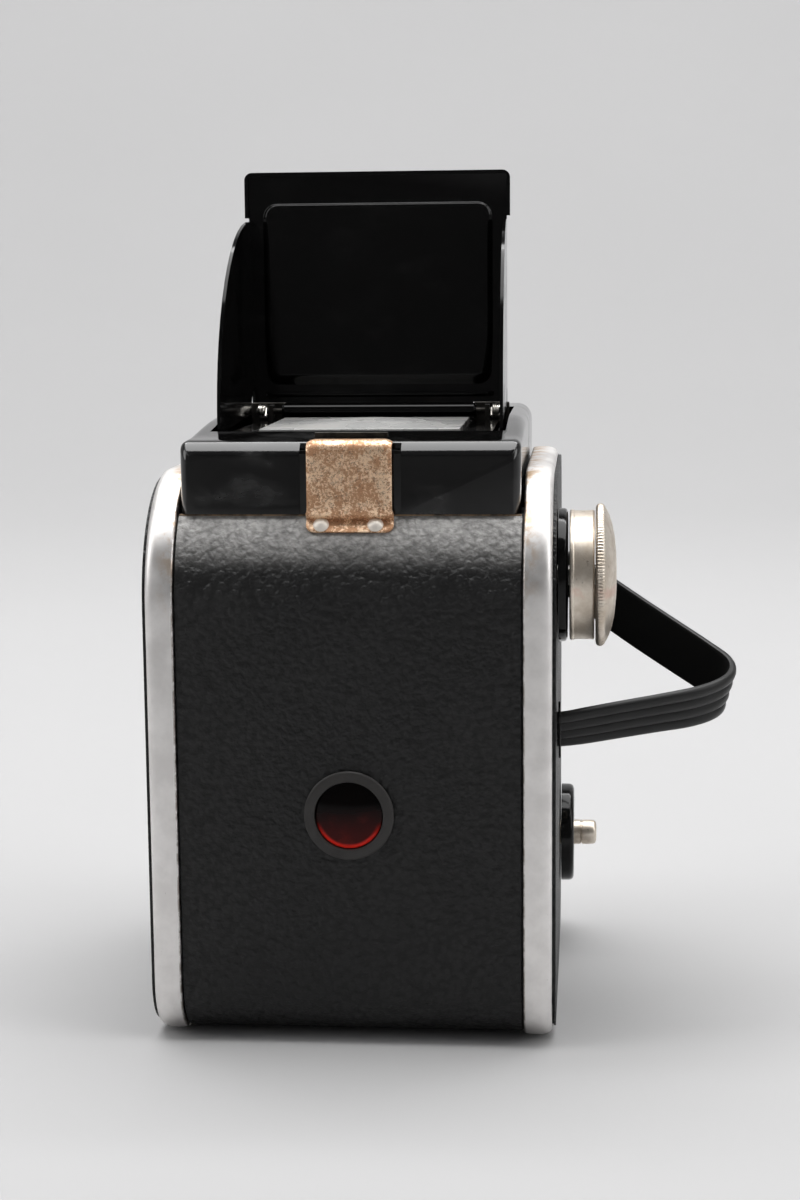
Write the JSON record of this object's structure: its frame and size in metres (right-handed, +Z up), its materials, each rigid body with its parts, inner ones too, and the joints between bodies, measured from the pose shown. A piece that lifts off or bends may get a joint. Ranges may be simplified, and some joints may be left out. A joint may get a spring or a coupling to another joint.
{
  "type": "box camera",
  "caption": "Box-shaped roll-film camera with a pop-up waist-level finder hood, hinged back with red window, latch clip, winding knob, side release and carrying strap.",
  "frame": {"origin": "middle of the underside of the base plate", "axes": "+Z up, +Y from the hinged back towards the lenses, +X towards the winding knob and strap"},
  "size_m": [0.1197, 0.0975, 0.1773],
  "materials": {
    "leatherette": "black pebble-grain leatherette",
    "black_enamel": "gloss black enamel on pressed steel",
    "black_paint": "matt black paint",
    "aluminium": "worn bright aluminium with brown stains",
    "nickel": "worn nickel plate, slightly warm",
    "rusty_steel": "plated steel with brown rust",
    "steel": "plain bright steel",
    "ruby_glass": "dark red window glass",
    "glass": "clear moulded glass",
    "mirror": "silvered mirror",
    "vinyl": "black ribbed vinyl",
    "brass": "plain brass"
  },
  "bodies": {
    "case": {"base_plate": "black_paint", "case_shell": "black_paint", "chamber_roof": "black_paint", "cover_pin_left": "steel", "cover_pin_right": "steel", "film_gate": "black_paint", "finder_housing": "black_enamel", "finder_lens": "glass", "finder_mask": "black_paint", "finder_mirror": "mirror", "front_plate": "aluminium", "front_rail_left": "aluminium", "front_rail_right": "aluminium", "glass_frame": "black_enamel", "hood_bracket_left": "steel", "hood_bracket_right": "steel", "hood_pin": "steel", "hood_spring_left": "steel", "hood_spring_right": "steel", "knob_escutcheon": "black_enamel", "latch_catch": "steel", "lens_panel": "black_enamel", "light_cone": "black_paint", "mirror_bracket": "black_paint", "release_bezel": "black_enamel", "shutter_pivot": "steel", "shutter_plate": "brass", "shutter_spring": "steel", "side_panel_left": "leatherette", "side_panel_right": "leatherette", "strap": "vinyl", "strap_plate_front": "black_enamel", "strap_plate_rear": "black_enamel", "supply_pin_left": "steel", "supply_pin_right": "steel", "takeup_pin_left": "steel", "taking_lens": "glass", "taking_lens_ring": "aluminium", "tripod_bush": "brass", "viewing_lens": "glass", "viewing_lens_ring": "aluminium"},
    "back_cover": {"back_sheet": "black_paint", "back_leatherette": "leatherette", "back_rail_left": "aluminium", "back_rail_right": "aluminium", "window_ring": "black_paint", "window_glass": "ruby_glass"},
    "latch": {"latch_clip": "rusty_steel", "latch_rivet_left": "steel", "latch_rivet_right": "steel"},
    "hood": {"hood": "black_enamel"},
    "winder": {"winding_knob": "nickel", "knob_cap": "nickel", "winding_shaft": "steel", "takeup_spool": "black_paint"},
    "release": {"release_plunger": "nickel"},
    "shutter": {"shutter_blade": "steel"},
    "roller_top": {"film_roller_top": "steel"},
    "roller_bottom": {"film_roller_bottom": "steel"}
  },
  "joints": [
    {"name": "cover_hinge", "type": "hinge", "parent": "case", "child": "back_cover", "pos_m": [0, -0.0394, 0.0066], "axis": [1, 0, 0], "range_deg": [0, 85]},
    {"name": "clip_flex", "type": "hinge", "parent": "back_cover", "child": "latch", "pos_m": [0, -0.041, 0.104], "axis": [1, 0, 0], "range_deg": [0, 12], "stiffness_Nm_per_rad": 0.5, "springref_deg": -5.73},
    {"name": "hood_hinge", "type": "hinge", "parent": "case", "child": "hood", "pos_m": [0, 0.025, 0.1241], "axis": [1, 0, 0], "range_deg": [0, 90], "stiffness_Nm_per_rad": 0.02, "springref_deg": -22.92},
    {"name": "winding", "type": "hinge", "parent": "case", "child": "winder", "pos_m": [0, -0.024, 0.0935], "axis": [1, 0, 0], "continuous": true},
    {"name": "release_push", "type": "slide", "parent": "case", "child": "release", "axis": [-1, 0, 0], "range_m": [0, 0.0025], "stiffness_N_per_m": 300, "springref_m": -0.002},
    {"name": "shutter_swing", "type": "hinge", "parent": "case", "child": "shutter", "pos_m": [0.02, 0.0376, 0.0315], "axis": [0, 1, 0], "range_deg": [0, 31.6]},
    {"name": "roller_top_spin", "type": "hinge", "parent": "case", "child": "roller_top", "pos_m": [0, -0.037, 0.0856], "axis": [1, 0, 0], "continuous": true},
    {"name": "roller_bottom_spin", "type": "hinge", "parent": "case", "child": "roller_bottom", "pos_m": [0, -0.037, 0.0224], "axis": [1, 0, 0], "continuous": true}
  ],
  "couplings": [
    {"joint": "shutter_swing", "follows": "release_push", "rad_per_m": 220}
  ]
}
